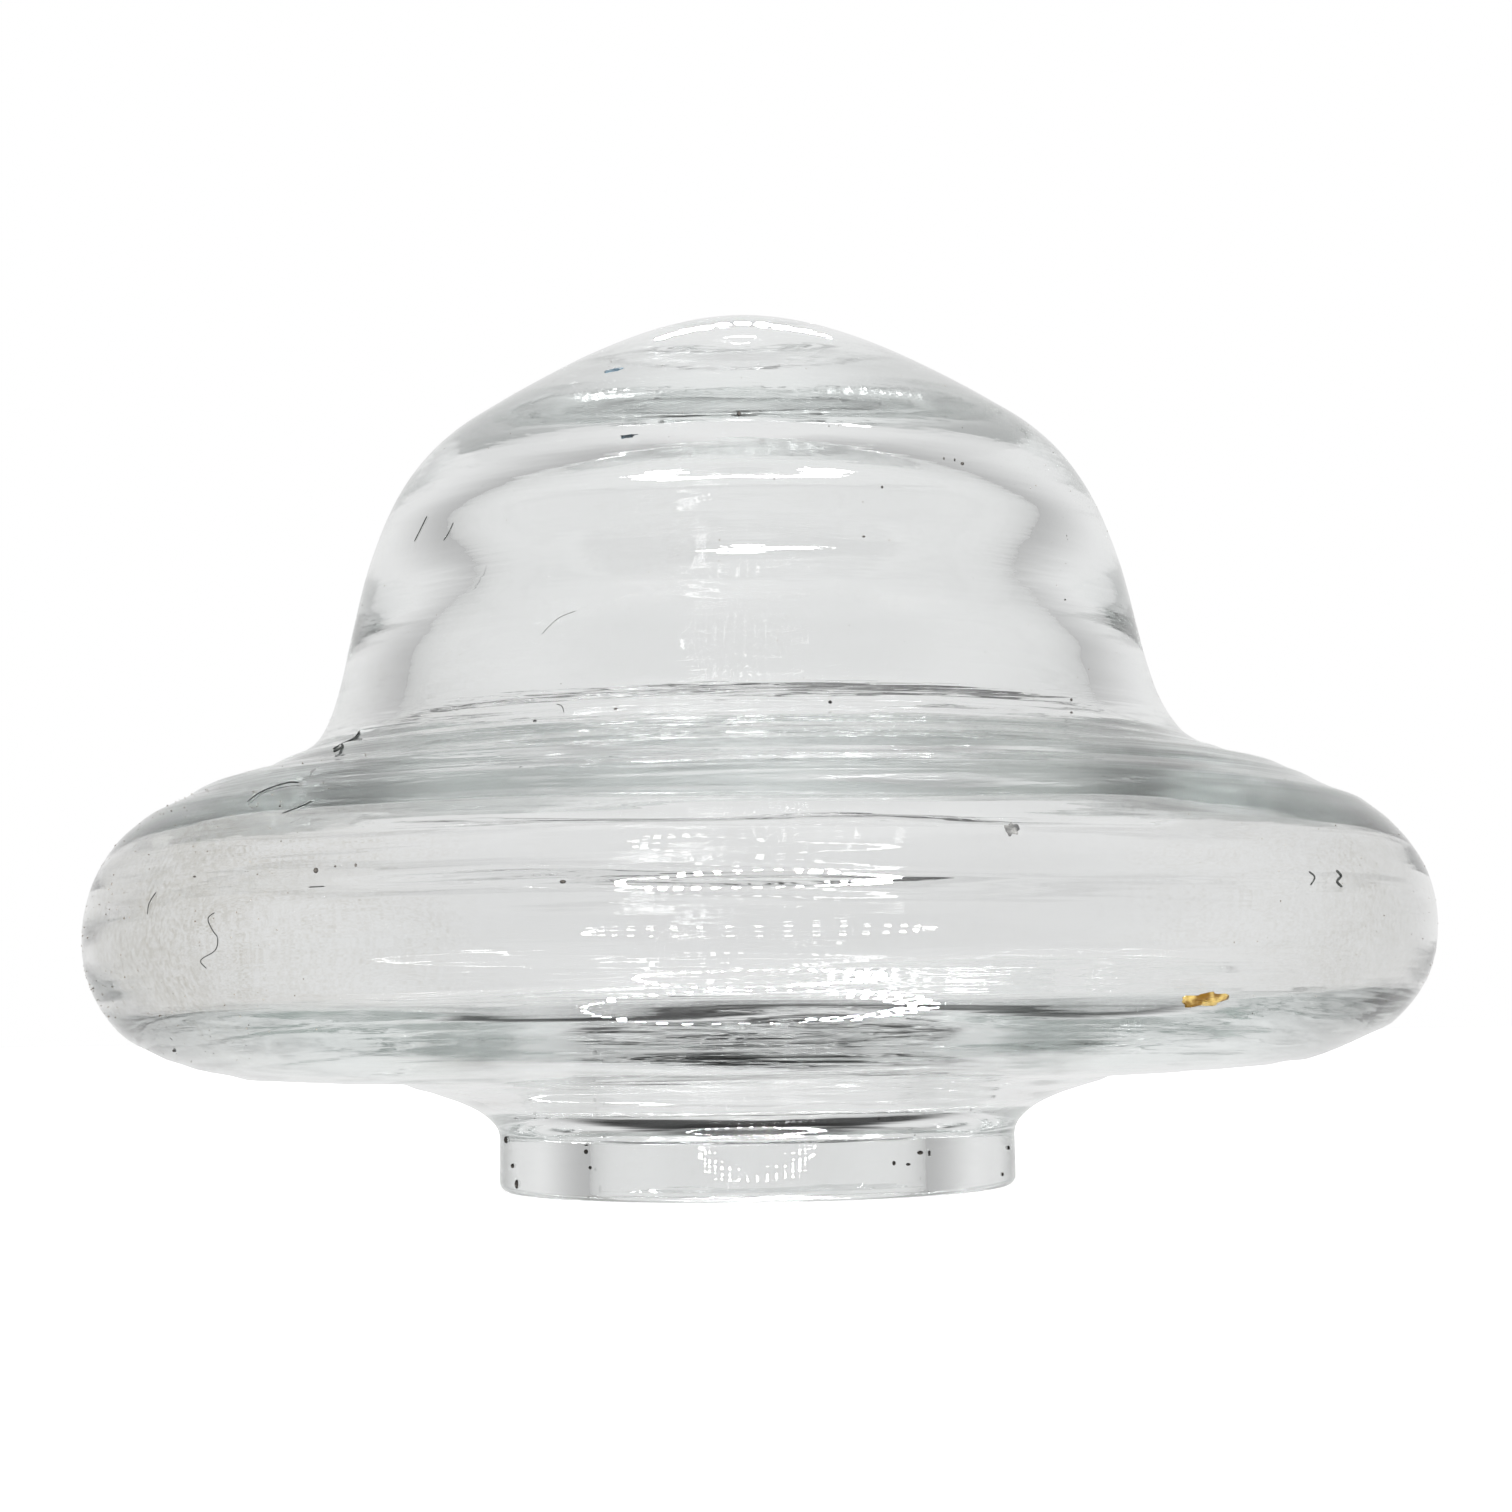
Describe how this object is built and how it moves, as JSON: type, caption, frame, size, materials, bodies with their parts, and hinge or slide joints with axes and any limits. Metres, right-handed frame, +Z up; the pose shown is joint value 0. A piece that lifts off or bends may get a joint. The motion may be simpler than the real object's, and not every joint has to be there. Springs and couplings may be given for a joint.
{
  "type": "glass insulator",
  "caption": "Hollow clear glass insulator body with a domed crown, a wide hollow rounded brim and a short open neck that it stands on.",
  "frame": {"origin": "centre of the neck lip, on the plane the piece stands on", "axes": "+Z up along the axis of the glass, from the neck lip to the crown; +X to the right and +Y away from someone facing the front"},
  "size_m": [0.055, 0.055, 0.0366],
  "materials": {
    "glass": "gloss"
  },
  "bodies": {
    "root": {"glass_body": "glass"}
  },
  "joints": []
}
